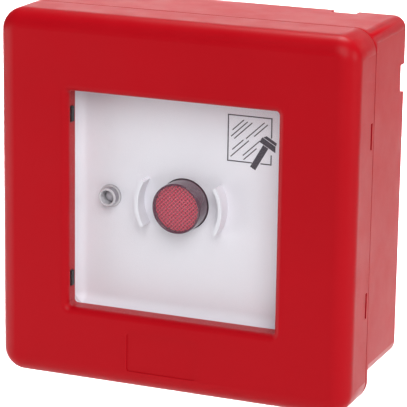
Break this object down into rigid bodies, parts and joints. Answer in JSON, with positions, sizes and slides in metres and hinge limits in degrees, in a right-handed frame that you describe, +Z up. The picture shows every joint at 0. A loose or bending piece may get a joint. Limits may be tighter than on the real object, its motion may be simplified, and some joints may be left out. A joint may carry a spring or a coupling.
{
  "type": "manual call point",
  "caption": "Surface-mounted red call point: hinged cover with a breakable window over a white panel with a lit push button and a status light.",
  "frame": {"origin": "centre of the square cover outline, on the back mounting face", "axes": "+X to the right seen from the front, +Y into the wall (the front faces -Y), +Z up"},
  "size_m": [0.12, 0.05, 0.12],
  "materials": {
    "red_abs": "moulded satin, red",
    "red_cover": "moulded satin, red",
    "white_abs": "moulded satin, white",
    "pane_glass": "clear float glass",
    "black_rubber": "moulded EPDM",
    "black_polyamide": "moulded black polyamide",
    "symbol_ink": "pad-printed ink",
    "smoky_polycarbonate": "clear tinted polycarbonate",
    "red_lens": "waffle-textured translucent red",
    "ivory_acetal": "moulded acetal",
    "lamp_clear": "clear epoxy lamp",
    "spring_steel": "drawn wire",
    "zinc_steel": "zinc plated",
    "grey_polyamide": "moulded light grey polyamide",
    "green_polyamide": "moulded green polyamide",
    "red_polyamide": "moulded red polyamide",
    "brass": "stamped brass",
    "circuit_laminate": "green solder mask",
    "resistor_lacquer": "lacquered ceramic",
    "red_pvc": "PVC wire insulation",
    "blue_pvc": "PVC wire insulation"
  },
  "bodies": {
    "housing": {"base_box": "red_abs", "parting_seal": "black_rubber", "cable_grommet": "black_rubber", "inner_panel": "white_abs", "panel_screws": "zinc_steel", "panel_symbol": "symbol_ink", "switch_housing": "black_polyamide", "switch_screws": "zinc_steel", "return_spring": "spring_steel", "lamp_holder": "ivory_acetal", "button_lamp": "lamp_clear", "no_block": "grey_polyamide", "nc_block": "grey_polyamide", "no_terminals": "brass", "nc_terminals": "brass", "terminal_screws": "zinc_steel", "no_spring": "spring_steel", "nc_spring": "spring_steel", "led_board": "circuit_laminate", "led_bezel": "white_abs", "status_led": "lamp_clear", "led_resistor": "resistor_lacquer", "terminal_block": "grey_polyamide", "terminal_clamps": "brass", "clamp_screws": "zinc_steel", "lamp_leads": "red_pvc", "led_leads": "blue_pvc", "hinge_pins": "zinc_steel"},
    "cover": {"front_cover": "red_cover", "glass_pane": "pane_glass", "pane_clips": "black_polyamide"},
    "button": {"button_cap": "smoky_polycarbonate", "button_lens": "red_lens", "button_stem": "ivory_acetal"},
    "no_contact": {"no_actuator": "green_polyamide", "no_bridge": "brass"},
    "nc_contact": {"nc_actuator": "red_polyamide", "nc_bridge": "brass"}
  },
  "joints": [
    {"name": "cover_hinge", "type": "hinge", "parent": "housing", "child": "cover", "pos_m": [-0.058, -0.0336, 0], "axis": [0, 0, -1], "range_deg": [0, 90]},
    {"name": "button_press", "type": "slide", "parent": "housing", "child": "button", "axis": [0, 1, 0], "range_m": [0, 0.004], "stiffness_N_per_m": 800, "springref_m": -0.002, "deforming": ["return_spring"]},
    {"name": "no_press", "type": "slide", "parent": "housing", "child": "no_contact", "axis": [0, 1, 0], "range_m": [0, 0.004], "deforming": ["no_spring"]},
    {"name": "nc_press", "type": "slide", "parent": "housing", "child": "nc_contact", "axis": [0, 1, 0], "range_m": [0, 0.004], "deforming": ["nc_spring"]}
  ],
  "couplings": [
    {"joint": "no_press", "follows": "button_press", "ratio": 1},
    {"joint": "nc_press", "follows": "button_press", "ratio": 1}
  ]
}
